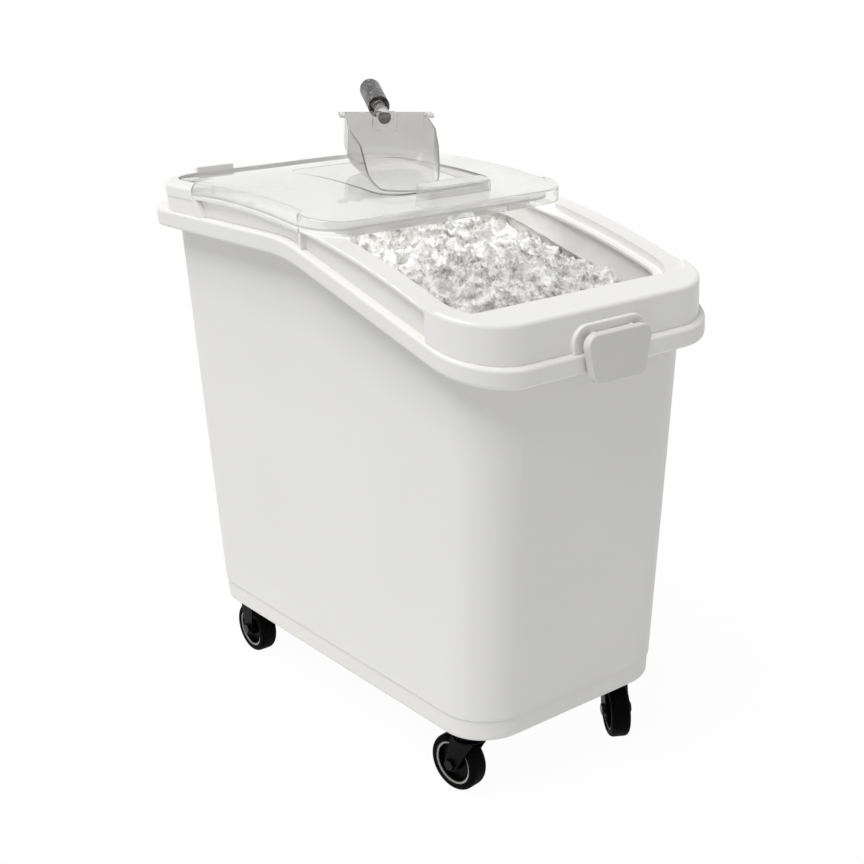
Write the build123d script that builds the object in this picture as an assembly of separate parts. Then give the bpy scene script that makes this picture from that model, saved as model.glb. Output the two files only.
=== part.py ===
"""Mobile ingredient bin: a drafted tub on four casters, a lid frame, two clear lids and a scoop.

Millimetres, +Z up, the bin's front faces -Y and the floor is z = 0.
"""

import os
from math import asin, cos, degrees, radians, sin

from build123d import *

# Overall sizes
FLANGE_LENGTH = 750.0
FLANGE_WIDTH = 394.0
FLANGE_CORNER = 77.0
FLANGE_DEPTH = 23.0
FLANGE_LIP = 4.0
FLANGE_EDGE_ROUND = 4.0

# Tub
TUB_FLOOR_Z = 96.0
FLANGE_SIDE_REACH = 28.0
FLANGE_FRONT_REACH = 14.0
FLANGE_REAR_REACH = 22.0
SIDE_DRAFT = 8.0
FRONT_DRAFT = 47.0
REAR_DRAFT = 33.0
TUB_TOP_WIDTH = FLANGE_WIDTH - 2 * FLANGE_SIDE_REACH
TUB_TOP_FRONT = FLANGE_LENGTH / 2 - FLANGE_FRONT_REACH
TUB_TOP_REAR = FLANGE_LENGTH / 2 - FLANGE_REAR_REACH
TUB_BASE_WIDTH = TUB_TOP_WIDTH - 2 * SIDE_DRAFT
TUB_BASE_FRONT = TUB_TOP_FRONT - FRONT_DRAFT
TUB_BASE_REAR = TUB_TOP_REAR - REAR_DRAFT
TUB_CORNER = 62.0
TUB_WALL = 3.5
TUB_FLOOR_THICKNESS = 5.0
BASE_BAND_HEIGHT = 30.0
BASE_BAND_STEP = 1.5
BASE_EDGE_ROUND = 5.0
PAD_THICKNESS = 11.0
PAD_MARGIN = 9.0

# Rim line of the tub seen from the side: level at the back, falling to the front
RIM_REAR_Z = 679.0
RIM_FRONT_Z = 577.0
RIM_BREAK_Y = -7.0
RIM_FRONT_Y = FLANGE_LIP - FLANGE_LENGTH / 2
RIM_BREAK_RADIUS = 260.0

# Arc that the rails and both lids follow
RAIL_RADIUS = 1340.0
RAIL_CREST_Y = 143.0
RAIL_CREST_Z = 708.5
RAIL_AXIS_Z = RAIL_CREST_Z - RAIL_RADIUS

# Lid frame
FRAME_SIDE_INSET = 3.0
FRAME_FRONT_INSET = 8.5
FRAME_REAR_INSET = 18.0
FRAME_WIDTH = FLANGE_WIDTH - 2 * FRAME_SIDE_INSET
FRAME_FRONT = FLANGE_LENGTH / 2 - FRAME_FRONT_INSET
FRAME_REAR = FLANGE_LENGTH / 2 - FRAME_REAR_INSET
FRAME_CORNER = 75.0
FRAME_REAR_CORNER = 88.0
FRAME_WALL = 3.0
FRAME_EDGE_ROUND = 5.0
CAP_STEP = 1.0
CAP_Z = 700.0
RAIL_EDGE = 4.0
RAIL_EDGE_ROUND = 1.5
BAY_RECESS = 9.0
BAY_TO_REAR = 143.0
BAY_REAR_END_Y = FRAME_REAR - BAY_TO_REAR
BAY_REAR_SLANT = 17.0
BAY_RIB_Y = -41.0
BAY_RIB_THICKNESS = 3.0
BAY_RIB_DROP = 2.0
BAY_TO_FRONT = 81.5
BAY_FRONT_END_Y = BAY_TO_FRONT - FRAME_FRONT
FRONT_BROW_REAR_Z = 642.0
FRONT_BROW_Z = 624.0
REAR_BROW_Z = 716.0
LIP_WIDTH = 28.0
LIP_FRONT = 42.5
LIP_REAR = 12.0
LIP_CORNER = 52.0
LEDGE_DROP = 10.0
LEDGE_WIDTH = 13.0
LOCATOR_DEPTH = 16.0
LOCATOR_INSET = 3.0
REAR_GRIP_LENGTH = 300.0
REAR_GRIP_REACH = 11.0
REAR_GRIP_HEIGHT = 18.0
REAR_GRIP_Z = 687.0
REAR_GRIP_CORNER = 6.0
DETENT_RADIUS = 3.0
DETENT_REACH = 1.6
DETENT_DROP = 8.0
REAR_DETENT_INSET = 14.0
DETENT_SPACING = 18.0

# Clear lids
LID_OVERHANG = 3.0
LID_WIDTH = FRAME_WIDTH + 2 * LID_OVERHANG
LID_WALL = 2.5
LID_PANEL = 3.0
LID_CORNER = 48.0
SEAT_GAP = 0.3
STACK_GAP = 0.4
NOSE_GAP = 0.7
FRONT_SKIRT_DROP = 5.0
SKIRT_FRONT_Y = -45.0
SKIRT_END_GAP = 1.0
PLATEAU_RISE = 18.0
SHOULDER_ROUND = 13.0
NOSE_EDGE_ROUND = 3.5
FRONT_LID_NOSE_Y = -98.5
REAR_LID_NOSE_Y = -78.0
LID_NOSE_CLEARANCE = 3.0
LID_REAR_CLEARANCE = 2.0
REAR_LID_SIDE_GAP = 1.0
NOSE_DROP = 7.5
REAR_HEM_RISE = 5.0
WELL_WIDTH = 182.0
WELL_FRONT_Y = -36.0
WELL_REAR_Y = 208.0
WELL_CORNER = 32.0
WELL_FLOOR_RISE = 8.0
WELL_SLOPE = 2.3
WELL_X = 30.0
GRIP_WIDTH = 108.0
GRIP_DEPTH = 27.0
GRIP_HEIGHT = 14.0
GRIP_FRONT_Y = -68.0
GRIP_CORNER = 9.0
GRIP_EDGE_ROUND = 2.5
GRIP_X = 32.0
NOTCH_WIDTH = 98.0
NOTCH_HEIGHT = 6.0
NOTCH_CORNER = 5.0
NOTCH_X = 35.0

# Front latch
LATCH_TOP_WIDTH = 104.0
LATCH_BOTTOM_WIDTH = 78.0
LATCH_HEIGHT = 58.0
LATCH_THICKNESS = 9.5
LATCH_CORNER = 13.0
LATCH_EDGE_ROUND = 2.5
LATCH_BOTTOM_Z = 542.0
LATCH_STANDOFF = 3.5
LATCH_PIN_RADIUS = 2.0
LATCH_PIN_DROP = 5.5
LATCH_PIN_INSET = 1.0
LATCH_KNUCKLE_RADIUS = 4.5
LATCH_KNUCKLE_LENGTH = 52.0
LATCH_EAR_THICKNESS = 5.0
LATCH_EAR_GAP = 0.5
LATCH_HOOK_WIDTH = 60.0
LATCH_HOOK_REACH = 9.0
LATCH_HOOK_Z = 546.0
LATCH_HOOK_THICKNESS = 4.5
LATCH_PAD_MARGIN = 9.0
LATCH_PAD_REACH = 5.0
PIN_RUNNING_GAP = 0.05
PIN_SEAT_GAP = 0.01

# Rear stop block
STOP_WIDTH = 58.0
STOP_DEPTH = 11.0
STOP_HEIGHT = 8.0
STOP_X = -86.0
STOP_REAR_INSET = 1.0
STOP_ROUND = 2.0

# Scoop
SCOOP_LENGTH = 150.0
SCOOP_BACK_WIDTH = 111.0
SCOOP_MIDDLE_WIDTH = 119.0
SCOOP_LIP_WIDTH = 92.0
SCOOP_MIDDLE_Y = 22.0
SCOOP_LIP_BULGE = 12.0
SCOOP_LIP_HEIGHT = 3.4
SCOOP_HEIGHT = 69.0
SCOOP_WALL = 2.2
SCOOP_BACK_CORNER = 26.0
SCOOP_LIP_CORNER = 18.0
SCOOP_HEEL_ROUND = 24.0
SCOOP_KINK_Y = -27.0
SCOOP_KINK_Z = 46.0
SCOOP_KINK_ROUND = 14.0
SCOOP_RIM_REACH = 9.0
SCOOP_RIM_LENGTH = 22.0
SCOOP_RIM_THICKNESS = 4.0
SCOOP_RIM_ROUND = 4.0
SCOOP_X = 35.0
SCOOP_Y = 78.0
SCOOP_TURN = 24.8
SCOOP_TILT = 2.0
HANDLE_RADIUS = 15.0
HANDLE_LENGTH = 114.0
HANDLE_RISE = 9.0
HANDLE_ROOT_Z = 60.0
ROOT_PLATE_WIDTH = 33.0
ROOT_PLATE_DROP = 26.0
ROOT_PLATE_THICKNESS = 5.0
ROOT_PLATE_CORNER = 4.0
STEM_RADIUS = 9.0
STEM_LENGTH = 45.0
SPIGOT_RADIUS = 6.0
SPIGOT_LENGTH = 20.0
TAB_SPACING = 28.0
TAB_WIDTH = 5.0
TAB_HEIGHT = 16.0
TAB_THICKNESS = 2.0
RIVET_RADIUS = 1.5
RIVET_INSET = 0.5
RIVET_REACH = 3.0
RIVET_PLACES = (51.0, 59.0)

# Casters
WHEEL_RADIUS = 37.5
TYRE_WIDTH = 26.0
TYRE_INNER_RADIUS = 29.0
TYRE_ROUND = 6.0
HUB_WIDTH = 20.0
HUB_BOSS_RADIUS = 11.0
HUB_BOSS_LENGTH = 27.0
HUB_WEB = 8.0
HUB_RIM_THICKNESS = 4.0
RING_WIDTH = 2.6
RING_THICKNESS = 1.2
AXLE_RADIUS = 4.0
AXLE_HEAD = 4.0
AXLE_HEAD_FLATS = 13.0
FORK_SHEET = 2.0
FORK_SIDE_GAP = 0.5
FORK_LEG_TOP = 34.0
FORK_LEG_END_RADIUS = 10.0
CROWN_Z = 77.5
CROWN_RADIUS = 22.0
CASTER_TRAIL = 20.0
PLATE_LENGTH = 58.0
PLATE_WIDTH = 56.0
PLATE_THICKNESS = 3.0
PLATE_CORNER = 10.0
RACE_RADIUS = 20.0
RACE_ROUND = 4.0
KINGPIN_RADIUS = 5.0
KINGPIN_HEAD_RADIUS = 9.0
KINGPIN_HEAD = 2.0
RACE_GAP = 0.3
SCREW_RADIUS = 2.5
SCREW_HEAD_RADIUS = 4.5
SCREW_HEAD = 2.5
SCREW_LENGTH = 11.0
SCREW_SPACING_X = 38.0
SCREW_SPACING_Y = 42.0
SCREW_GAP = 0.1
FRONT_CASTER_SIDE_INSET = 38.0
FRONT_CASTER_INSET = 62.0
REAR_CASTER_SIDE_INSET = 43.0
REAR_CASTER_INSET = 47.0
FRONT_CASTER_X = TUB_BASE_WIDTH / 2 - FRONT_CASTER_SIDE_INSET
FRONT_CASTER_Y = FRONT_CASTER_INSET - TUB_BASE_FRONT
REAR_CASTER_X = TUB_BASE_WIDTH / 2 - REAR_CASTER_SIDE_INSET
REAR_CASTER_Y = TUB_BASE_REAR - REAR_CASTER_INSET
FRONT_LEFT_TURN = 8.0
FRONT_RIGHT_TURN = 149.0

# Worked out from the sizes above
FAR = 1000.0
STEEP = 0.9
BAY_HALF_WIDTH = FRAME_WIDTH / 2 - BAY_RECESS
LIP_HALF_WIDTH = FRAME_WIDTH / 2 - LIP_WIDTH
LIP_FRONT_Y = -FRAME_FRONT + LIP_FRONT
LIP_REAR_Y = FRAME_REAR - LIP_REAR
REAR_LID_TOP = SEAT_GAP + LID_PANEL
PANEL_HALF_WIDTH = LIP_HALF_WIDTH - LID_NOSE_CLEARANCE
PANEL_CORNER = LIP_CORNER - LID_NOSE_CLEARANCE
PANEL_REAR_Y = LIP_REAR_Y - LID_REAR_CLEARANCE
SKIRT_REAR_Y = BAY_REAR_END_Y - SKIRT_END_GAP
PLATE_BOTTOM_Z = TUB_FLOOR_Z - PLATE_THICKNESS
LATCH_BACK_Y = -FLANGE_LENGTH / 2 - LATCH_STANDOFF

# The origin is the middle of the whole footprint, latch included
ORIGIN_SHIFT_Y = (LATCH_STANDOFF + LATCH_THICKNESS) / 2


def export(shape, node):
    """Moves one sub-part to the bin's origin and writes it to its own STEP file."""
    export_step(Pos(0, ORIGIN_SHIFT_Y, 0) * shape, f"parts/{node}.step")


def plan_prism(half_width, front_y, rear_y, corner, low_z, high_z):
    """Upright block with rounded corners, seen from above."""
    outline = RectangleRounded(2 * half_width, rear_y - front_y, corner)
    return extrude(Pos(0, (front_y + rear_y) / 2, low_z) * outline, amount=high_z - low_z)


def block(low_x, high_x, low_y, high_y, low_z, high_z):
    """Plain box between two corners."""
    size = (high_x - low_x, high_y - low_y, high_z - low_z)
    centre = ((low_x + high_x) / 2, (low_y + high_y) / 2, (low_z + high_z) / 2)
    return Pos(*centre) * Box(*size)


def rod(radius, length, place):
    """Round bar along X, centred on a place."""
    return Pos(*place) * Rot(0, 90, 0) * Cylinder(radius, length)


def under_arc(rise):
    """Everything under the rail arc raised by a given amount."""
    return rod(RAIL_RADIUS + rise, 2 * FAR, (0, RAIL_CREST_Y, RAIL_AXIS_Z))


def arc_z(y, rise=0.0):
    """Height of the rail arc at a place along the bin."""
    radius = RAIL_RADIUS + rise
    return RAIL_AXIS_Z + radius * cos(asin((y - RAIL_CREST_Y) / radius))


def arc_slope(y):
    """Slope of the rail arc in degrees, rising towards the back."""
    return degrees(asin((RAIL_CREST_Y - y) / RAIL_RADIUS))


def side_solid(points, radii=()):
    """Block with the given outline in the YZ plane, across the whole width."""
    outline = FilletPolyline(*points, radius=radii, close=True) if radii else Polyline(*points, close=True)
    return extrude(Plane.YZ * make_face(outline), amount=FAR, both=True)


def under_rim(offset):
    """Everything under the tub's rim line moved up by a given amount."""
    slope = (RIM_REAR_Z - RIM_FRONT_Z) / (RIM_BREAK_Y - RIM_FRONT_Y)
    far_front_z = RIM_FRONT_Z - slope * (FAR + RIM_FRONT_Y) + offset
    points = [
        (-FAR, -FAR),
        (-FAR, far_front_z),
        (RIM_BREAK_Y, RIM_REAR_Z + offset),
        (FAR, RIM_REAR_Z + offset),
        (FAR, -FAR),
    ]
    with BuildSketch(Plane.YZ) as sketch:
        with BuildLine():
            Polyline(*points, close=True)
        make_face()
        bend = sketch.vertices().sort_by_distance(Vector(0, RIM_BREAK_Y, RIM_REAR_Z + offset))[0]
        fillet(bend, radius=RIM_BREAK_RADIUS)
    return extrude(sketch.sketch, amount=FAR, both=True)


def drafted_body(inset, low_z, high_z):
    """Tapered block of the tub, pulled in by an inset."""
    rise = RIM_REAR_Z - TUB_FLOOR_Z

    def section(z):
        share = (z - TUB_FLOOR_Z) / rise
        half_width = (TUB_BASE_WIDTH + (TUB_TOP_WIDTH - TUB_BASE_WIDTH) * share) / 2 - inset
        front = -(TUB_BASE_FRONT + (TUB_TOP_FRONT - TUB_BASE_FRONT) * share) + inset
        rear = TUB_BASE_REAR + (TUB_TOP_REAR - TUB_BASE_REAR) * share - inset
        outline = RectangleRounded(2 * half_width, rear - front, TUB_CORNER - inset)
        return Pos(0, (front + rear) / 2, z) * outline

    return loft([section(low_z), section(high_z)], ruled=True)


def caster_places():
    """Name, plate centre and turn of each caster."""
    return [
        ("front_left", -FRONT_CASTER_X, FRONT_CASTER_Y, FRONT_LEFT_TURN),
        ("front_right", FRONT_CASTER_X, FRONT_CASTER_Y, FRONT_RIGHT_TURN),
        ("rear_left", -REAR_CASTER_X, REAR_CASTER_Y, 0.0),
        ("rear_right", REAR_CASTER_X, REAR_CASTER_Y, 0.0),
    ]


def screw_places(x, y):
    """Centres of one caster plate's four screws."""
    half_x = SCREW_SPACING_X / 2
    half_y = SCREW_SPACING_Y / 2
    return [(x + i * half_x, y + j * half_y) for i in (-1, 1) for j in (-1, 1)]


def make_tub():
    """One-piece tub: drafted walls, base band, screw pads and a hooked rim flange."""
    top = RIM_REAR_Z + FLANGE_DEPTH
    band_top = TUB_FLOOR_Z + BASE_BAND_HEIGHT
    lower = drafted_body(BASE_BAND_STEP, TUB_FLOOR_Z, band_top)
    lower = fillet(lower.faces().sort_by(Axis.Z)[0].edges(), radius=BASE_EDGE_ROUND)
    body = lower + drafted_body(0, band_top, top)
    flange = plan_prism(FLANGE_WIDTH / 2, -FLANGE_LENGTH / 2, FLANGE_LENGTH / 2, FLANGE_CORNER,
                        RIM_FRONT_Z - 2 * FLANGE_DEPTH, top)
    flange = flange & under_rim(0)
    flange = flange - under_rim(-FLANGE_DEPTH)
    outer_edges = flange.edges().filter_by(lambda edge: abs(edge.tangent_at(0.5).Z) < STEEP)
    flange = fillet(outer_edges, radius=FLANGE_EDGE_ROUND)
    pocket = plan_prism(FLANGE_WIDTH / 2 - FLANGE_LIP, -FLANGE_LENGTH / 2 + FLANGE_LIP,
                        FLANGE_LENGTH / 2 - FLANGE_LIP, FLANGE_CORNER - FLANGE_LIP, 0, top)
    pocket = pocket & under_rim(-FLANGE_LIP)
    shell = (body & under_rim(0)) + (flange - pocket)
    inside = drafted_body(TUB_WALL, TUB_FLOOR_Z, top)
    inside = inside - block(-FAR, FAR, -FAR, FAR, 0, TUB_FLOOR_Z + TUB_FLOOR_THICKNESS)
    shell = shell - inside
    for _, x, y, _ in caster_places():
        pad = Pos(x, y, TUB_FLOOR_Z + TUB_FLOOR_THICKNESS) * RectangleRounded(
            PLATE_WIDTH + PAD_MARGIN, PLATE_LENGTH + PAD_MARGIN, PLATE_CORNER)
        pad = extrude(pad, amount=PAD_THICKNESS - TUB_FLOOR_THICKNESS)
        shell = shell + (pad & drafted_body(TUB_WALL / 2, TUB_FLOOR_Z, band_top))
        for hole_x, hole_y in screw_places(x, y):
            depth = SCREW_LENGTH - PLATE_THICKNESS + SEAT_GAP
            hole = Pos(hole_x, hole_y, TUB_FLOOR_Z + depth / 2) * Cylinder(SCREW_RADIUS + SCREW_GAP, depth)
            shell = shell - hole
    return shell


def frame_plan(inset=0.0, high_z=FAR):
    """Upright block with the frame's outline, pulled in by an inset."""
    half_width = FRAME_WIDTH / 2 - inset
    front_y = -FRAME_FRONT + inset
    rear_y = FRAME_REAR - inset
    front = plan_prism(half_width, front_y, FAR, FRAME_CORNER - inset, 0, high_z)
    rear = plan_prism(half_width, -FAR, rear_y, FRAME_REAR_CORNER - inset, 0, high_z)
    return front & rear


def lip_plan(inset=0.0):
    """Upright block with the outline of the step inside the frame, pulled in by an inset."""
    return plan_prism(LIP_HALF_WIDTH - inset, LIP_FRONT_Y + inset, LIP_REAR_Y - inset, LIP_CORNER - inset, 0, FAR)


def under_brow():
    """Everything in front of the bays and under the sloping top of the front brow."""
    slope = (FRONT_BROW_REAR_Z - FRONT_BROW_Z) / (BAY_FRONT_END_Y + FRAME_FRONT)
    far_z = FRONT_BROW_REAR_Z - slope * (FAR + BAY_FRONT_END_Y)
    return side_solid([(-FAR, -FAR), (-FAR, far_z), (BAY_FRONT_END_Y, FRONT_BROW_REAR_Z), (BAY_FRONT_END_Y, -FAR)])


def outer_top_edges(part):
    """Edges round the top of the outer wall, without the cut end that faces the bays."""
    top = part.faces().sort_by(lambda face: -face.center().Z)[0]
    box = part.bounding_box()
    cut_y = box.max.Y if abs(box.min.Y) > abs(box.max.Y) else box.min.Y
    return top.edges().filter_by(lambda edge: abs((edge @ 0.5).Y - cut_y) > CAP_STEP)


def nose_pocket():
    """Room for the closed front lid's nose inside the front brow, down to the rails' level."""
    half_width = LID_WIDTH / 2 + LID_NOSE_CLEARANCE
    pocket = plan_prism(half_width, LIP_FRONT_Y, 0, LID_CORNER + LID_NOSE_CLEARANCE, 0, FAR)
    return pocket - under_arc(0)


def frame_outside():
    """Outer form of the frame: front brow, rails over the side bays, and raised rear with its cap."""
    front = frame_plan() & under_brow()
    front = fillet(outer_top_edges(front), radius=FRAME_EDGE_ROUND)
    front = front - nose_pocket()
    rear_zone = block(-FAR, FAR, BAY_REAR_END_Y, FAR, 0, REAR_BROW_Z)
    cap = frame_plan() & rear_zone
    cap = fillet(outer_top_edges(cap), radius=FRAME_EDGE_ROUND)
    rear = cap - block(-FAR, FAR, -FAR, FAR, -FAR, CAP_Z) + (frame_plan(CAP_STEP, CAP_Z) & rear_zone)
    half_width = FRAME_WIDTH / 2
    rails = block(-half_width, half_width, BAY_FRONT_END_Y, BAY_REAR_END_Y, 0, FAR) & under_arc(0)
    rails = fillet(long_top_edges(rails), radius=RAIL_EDGE_ROUND)
    return front + rear + rails - bay_recess()


def bay_recess():
    """Space of the side bays, under the rails' edge and outside the bay walls."""
    slant = BAY_REAR_SLANT / (RAIL_CREST_Z - RIM_REAR_Z)
    zone = side_solid([
        (BAY_FRONT_END_Y, 0),
        (BAY_FRONT_END_Y, RAIL_CREST_Z),
        (BAY_REAR_END_Y, RAIL_CREST_Z),
        (BAY_REAR_END_Y - slant * RAIL_CREST_Z, 0),
    ])
    inside = block(-BAY_HALF_WIDTH, BAY_HALF_WIDTH, -FAR, FAR, 0, FAR)
    return (zone & under_arc(-RAIL_EDGE)) - inside


def frame_hollow():
    """Space under the frame's top web, between the outer wall and the wall round the opening."""
    plan = frame_plan(FRAME_WALL + CAP_STEP) - lip_plan(-FRAME_WALL)
    half_bay = BAY_HALF_WIDTH - FRAME_WALL
    front_end = BAY_FRONT_END_Y - FRAME_WALL
    rear_end = BAY_REAR_END_Y + FRAME_WALL
    front = plan & block(-FAR, FAR, -FAR, front_end, 0, FAR) & under_arc(-RAIL_EDGE)
    bays = plan & block(-half_bay, half_bay, front_end, rear_end, 0, FAR) & under_arc(-RAIL_EDGE)
    rear = plan & block(-FAR, FAR, rear_end, FAR, 0, REAR_BROW_Z - FRAME_WALL)
    return front + bays + rear


def make_lid_frame():
    """White ring that sits on the tub's flange and carries both lids on its curved rails."""
    body = frame_outside() + latch_pad() - under_rim(SEAT_GAP) - frame_hollow()
    body = body - (lip_plan() - under_arc(-LEDGE_DROP))
    body = body - (lip_plan() & under_arc(-LEDGE_DROP - FRAME_WALL))
    body = body - lip_plan(LEDGE_WIDTH)
    body = body + locator() + rear_grip() + bay_ribs()
    return body - latch_room() + latch_ears()


def locator():
    """Rib under the ledge that drops inside the tub's mouth."""
    ring = lip_plan(LOCATOR_INSET) - lip_plan(LOCATOR_INSET + FRAME_WALL)
    rib = ring & under_arc(-LEDGE_DROP - FRAME_WALL / 2)
    return rib - under_rim(-LOCATOR_DEPTH)


def rear_grip():
    """Finger ledge along the frame's back."""
    wall = FRAME_REAR - CAP_STEP
    half = REAR_GRIP_LENGTH / 2
    end = FRAME_REAR + REAR_GRIP_REACH
    top = REAR_GRIP_Z + REAR_GRIP_HEIGHT
    ledge = block(-half, half, wall - FRAME_WALL / 2, end, REAR_GRIP_Z, top)
    ledge = fillet(ledge.edges().filter_by(Axis.Z).sort_by(Axis.Y)[-2:], radius=REAR_GRIP_CORNER)
    hollow = block(-half + FRAME_WALL, half - FRAME_WALL, wall, end - FRAME_WALL, REAR_GRIP_Z, top - FRAME_WALL)
    corner = REAR_GRIP_CORNER - FRAME_WALL
    hollow = fillet(hollow.edges().filter_by(Axis.Z).sort_by(Axis.Y)[-2:], radius=corner)
    return ledge - hollow


def bay_ribs():
    """Low rib between the two side bays, and the small round detents, on both sides."""
    half = FRAME_WIDTH / 2 - RAIL_EDGE_ROUND
    detents = (BAY_REAR_END_Y - REAR_DETENT_INSET, BAY_RIB_Y + DETENT_SPACING, BAY_FRONT_END_Y + DETENT_SPACING)
    pieces = []
    for side in (-1, 1):
        low_x, high_x = sorted((side * (BAY_HALF_WIDTH - FRAME_WALL / 2), side * half))
        rib = block(low_x, high_x, BAY_RIB_Y - BAY_RIB_THICKNESS / 2, BAY_RIB_Y + BAY_RIB_THICKNESS / 2, 0, FAR)
        rib = (rib & under_arc(-BAY_RIB_DROP)) - under_rim(SEAT_GAP)
        pieces.append(rib)
        for y in detents:
            pieces.append(rod(DETENT_RADIUS, 2 * DETENT_REACH, (side * BAY_HALF_WIDTH, y, arc_z(y) - DETENT_DROP)))
    return pieces[0] + pieces[1:]


def latch_axis():
    """Centre of the latch's pin."""
    y = -FLANGE_LENGTH / 2 + LATCH_PIN_INSET
    z = LATCH_BOTTOM_Z + LATCH_HEIGHT - LATCH_PIN_DROP
    return y, z


def latch_outline(margin=0.0):
    """Rounded tapering outline of the latch tab, seen from the front and grown by a margin."""
    top_z = LATCH_BOTTOM_Z + LATCH_HEIGHT + margin
    low_z = LATCH_BOTTOM_Z - margin
    points = [
        (-LATCH_TOP_WIDTH / 2 - margin, top_z),
        (LATCH_TOP_WIDTH / 2 + margin, top_z),
        (LATCH_BOTTOM_WIDTH / 2 + margin, low_z),
        (-LATCH_BOTTOM_WIDTH / 2 - margin, low_z),
    ]
    return make_face(FilletPolyline(*points, radius=LATCH_CORNER + margin, close=True))


def latch_pad():
    """Soft raised pad on the frame's front wall, behind the latch."""
    outline = Plane.XZ.offset(FRAME_FRONT) * latch_outline(LATCH_PAD_MARGIN)
    pad = extrude(outline, amount=LATCH_PAD_REACH)
    pad = fillet(pad.faces().sort_by(Axis.Y)[0].edges(), radius=LATCH_PAD_REACH - LATCH_EDGE_ROUND)
    return pad + extrude(outline, amount=-FRAME_WALL / 2)


def latch_room():
    """Room in the pad for the latch's knuckle to turn."""
    y, z = latch_axis()
    inner = LATCH_KNUCKLE_LENGTH / 2 + LATCH_EAR_GAP
    room = rod(LATCH_KNUCKLE_RADIUS + LATCH_EAR_GAP, 2 * inner, (0, y, z))
    return room + block(-inner, inner, LATCH_BACK_Y, y, z - LATCH_KNUCKLE_RADIUS - LATCH_EAR_GAP, FAR)


def latch_ears():
    """Two ears on the frame's front wall that hold the latch pin."""
    y, z = latch_axis()
    inner = LATCH_KNUCKLE_LENGTH / 2 + LATCH_EAR_GAP
    pieces = []
    for side in (-1, 1):
        centre_x = side * (inner + LATCH_EAR_THICKNESS / 2)
        ear = rod(LATCH_KNUCKLE_RADIUS, LATCH_EAR_THICKNESS, (centre_x, y, z))
        ear += block(centre_x - LATCH_EAR_THICKNESS / 2, centre_x + LATCH_EAR_THICKNESS / 2, y,
                     -FRAME_FRONT + FRAME_WALL / 2, z - LATCH_KNUCKLE_RADIUS, z + LATCH_KNUCKLE_RADIUS)
        ear -= rod(LATCH_PIN_RADIUS + PIN_SEAT_GAP, 2 * LATCH_EAR_THICKNESS, (centre_x, y, z))
        pieces.append(ear)
    return pieces[0] + pieces[1]


def make_latch():
    """Front latch: a thick rounded tab on a knuckle, hanging over the flange."""
    y, z = latch_axis()
    tab = extrude(Plane.XZ.offset(-LATCH_BACK_Y) * latch_outline(), amount=LATCH_THICKNESS)
    tab = fillet(tab.faces().sort_by(Axis.Y)[0].edges(), radius=LATCH_EDGE_ROUND)
    inside_y = LATCH_BACK_Y - LATCH_EDGE_ROUND
    half = LATCH_KNUCKLE_LENGTH / 2
    knuckle = rod(LATCH_KNUCKLE_RADIUS, LATCH_KNUCKLE_LENGTH, (0, y, z))
    knuckle += block(-half, half, inside_y, y, z - LATCH_KNUCKLE_RADIUS, z + LATCH_KNUCKLE_RADIUS)
    hook = block(-LATCH_HOOK_WIDTH / 2, LATCH_HOOK_WIDTH / 2, inside_y, LATCH_BACK_Y + LATCH_HOOK_REACH,
                 LATCH_HOOK_Z, LATCH_HOOK_Z + LATCH_HOOK_THICKNESS)
    body = tab + knuckle + hook
    return body - rod(LATCH_PIN_RADIUS + PIN_RUNNING_GAP, LATCH_TOP_WIDTH, (0, y, z))


def make_latch_pin():
    """Steel pin through the ears and the knuckle."""
    y, z = latch_axis()
    length = LATCH_KNUCKLE_LENGTH + 2 * LATCH_EAR_GAP + 2 * LATCH_EAR_THICKNESS
    return rod(LATCH_PIN_RADIUS, length, (0, y, z))


def make_rear_stop():
    """Block on the frame's rear rim, behind the lids."""
    rear_y = FRAME_REAR - STOP_REAR_INSET
    stop = block(STOP_X - STOP_WIDTH / 2, STOP_X + STOP_WIDTH / 2, rear_y - STOP_DEPTH, rear_y, REAR_BROW_Z,
                 REAR_BROW_Z + STOP_HEIGHT)
    return fillet(top_outline(stop), radius=STOP_ROUND)


def make_rear_lid():
    """Fixed clear lid: a curved panel on the rails, narrower behind them, with a short nose in the opening."""
    half_width = LID_WIDTH / 2 - LID_WALL - REAR_LID_SIDE_GAP
    on_rails = plan_prism(half_width, REAR_LID_NOSE_Y, FAR, LID_CORNER, 0, FAR)
    on_rails = on_rails & block(-FAR, FAR, -FAR, SKIRT_REAR_Y, 0, FAR)
    narrow = plan_prism(PANEL_HALF_WIDTH, REAR_LID_NOSE_Y, PANEL_REAR_Y, PANEL_CORNER, 0, FAR)
    sheet = ((on_rails + narrow) & under_arc(REAR_LID_TOP)) - under_arc(SEAT_GAP)
    inner = plan_prism(PANEL_HALF_WIDTH - LID_WALL, REAR_LID_NOSE_Y + LID_WALL, PANEL_REAR_Y - LID_WALL,
                       PANEL_CORNER - LID_WALL, 0, FAR)
    nose = (narrow - inner) & block(-FAR, FAR, -FAR, SKIRT_FRONT_Y, 0, FAR) & under_arc(REAR_LID_TOP)
    return sheet + (nose - under_arc(-NOSE_DROP))


def lid_saddle(inset):
    """Wide part of the front lid over the rails, with rounded shoulders, pulled in by an inset."""
    half_width = LID_WIDTH / 2 - inset
    saddle = block(-half_width, half_width, SKIRT_FRONT_Y - inset, SKIRT_REAR_Y - inset, 0, FAR)
    saddle = saddle & under_arc(PLATEAU_RISE - inset)
    return fillet(long_top_edges(saddle), radius=SHOULDER_ROUND - inset)


def lid_nose(inset):
    """Front part of the front lid, with its round corners, pulled in by an inset."""
    rear_y = SKIRT_FRONT_Y - inset
    nose = plan_prism(LID_WIDTH / 2 - inset, FRONT_LID_NOSE_Y + inset, FAR, LID_CORNER - inset, 0, FAR)
    nose = nose & under_arc(PLATEAU_RISE - inset)
    nose = fillet(top_outline(nose), radius=NOSE_EDGE_ROUND - inset)
    return nose & block(-FAR, FAR, -FAR, rear_y, 0, FAR)


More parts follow.
